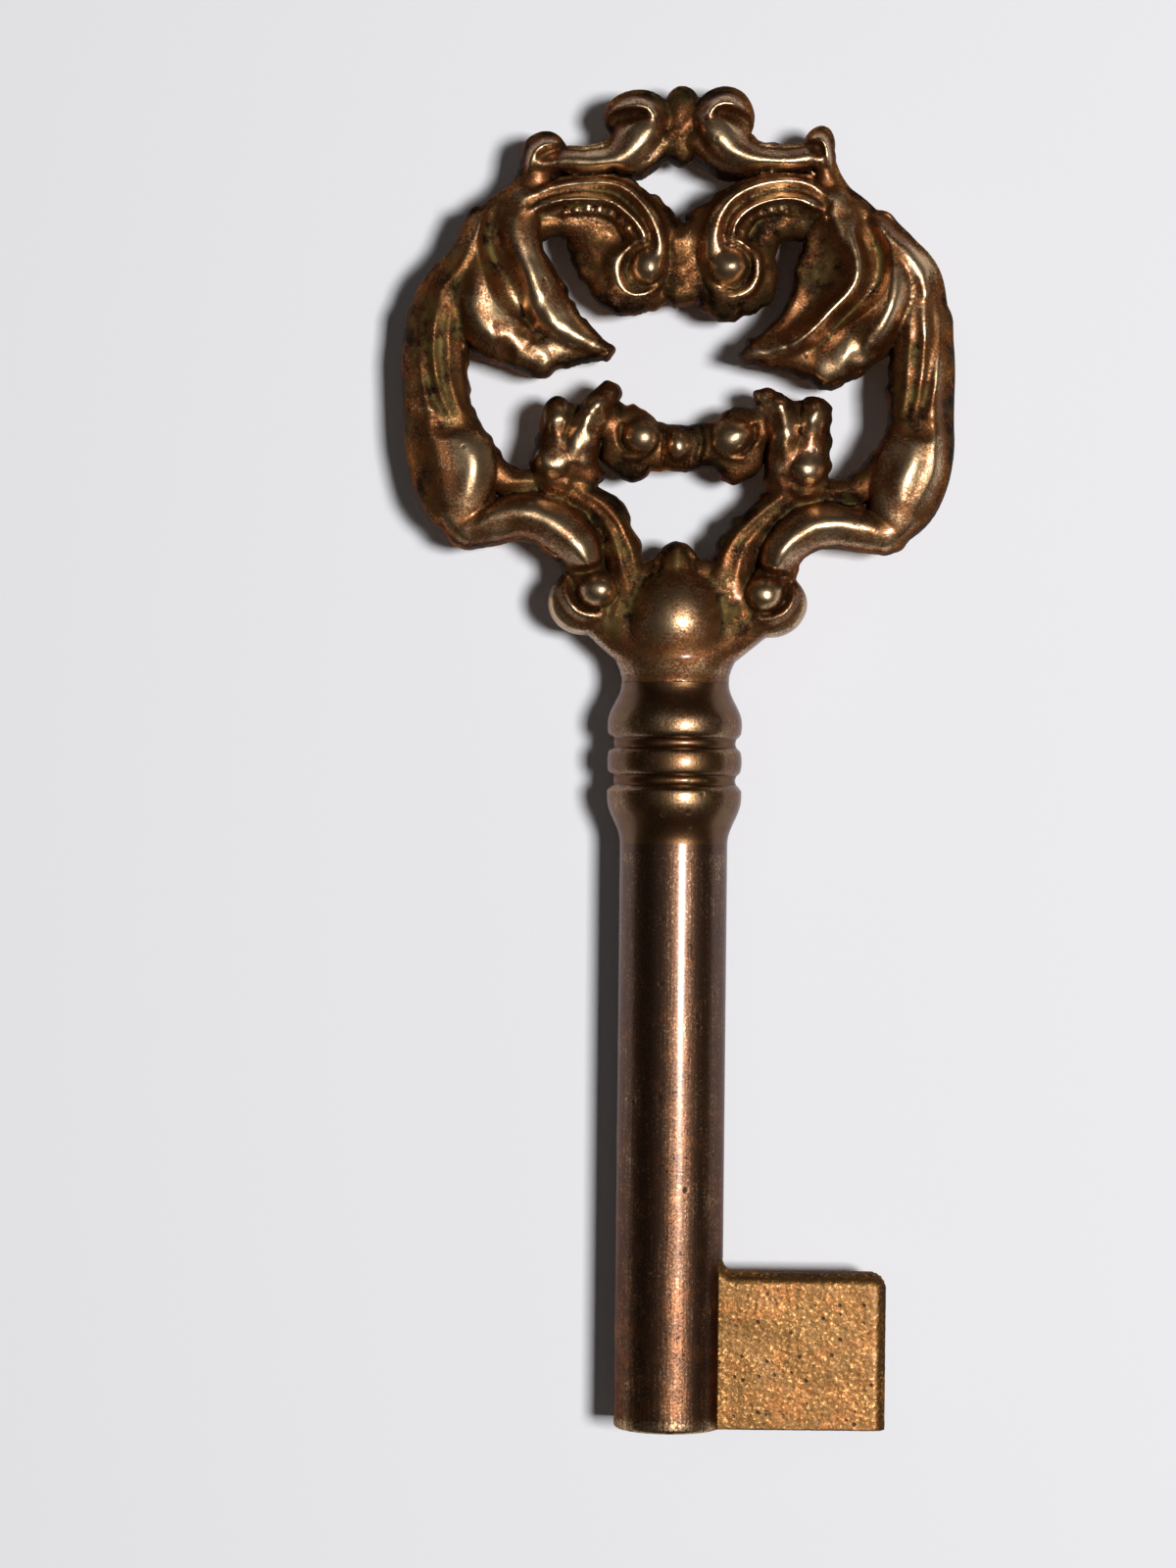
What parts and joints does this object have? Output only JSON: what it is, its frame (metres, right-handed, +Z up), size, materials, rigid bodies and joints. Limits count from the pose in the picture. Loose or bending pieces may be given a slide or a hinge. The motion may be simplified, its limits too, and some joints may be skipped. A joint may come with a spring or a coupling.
{
  "type": "skeleton key",
  "caption": "Antique-style barrel key: pierced scrollwork bow, turned collar with grooved bands, drilled round barrel and a plain square bit flush with its end.",
  "frame": {"origin": "below the middle of the key, level with the lowest point of the collar; the key lies flat", "axes": "+Y runs from the barrel's end to the crest of the bow, +X is the side that the bit is on, +Z is up"},
  "size_m": [0.0332, 0.0794, 0.008],
  "materials": {
    "cast_brass": "aged cast brass, brown patina in the hollows and golden worn ridges",
    "turned_brass": "aged smooth brass, dark brown with coppery rubbed areas",
    "worn_brass": "bare sand-cast brass, golden and finely grained"
  },
  "bodies": {
    "root": {"bow": "cast_brass", "collar": "turned_brass", "barrel": "turned_brass", "bit": "worn_brass"}
  },
  "joints": []
}
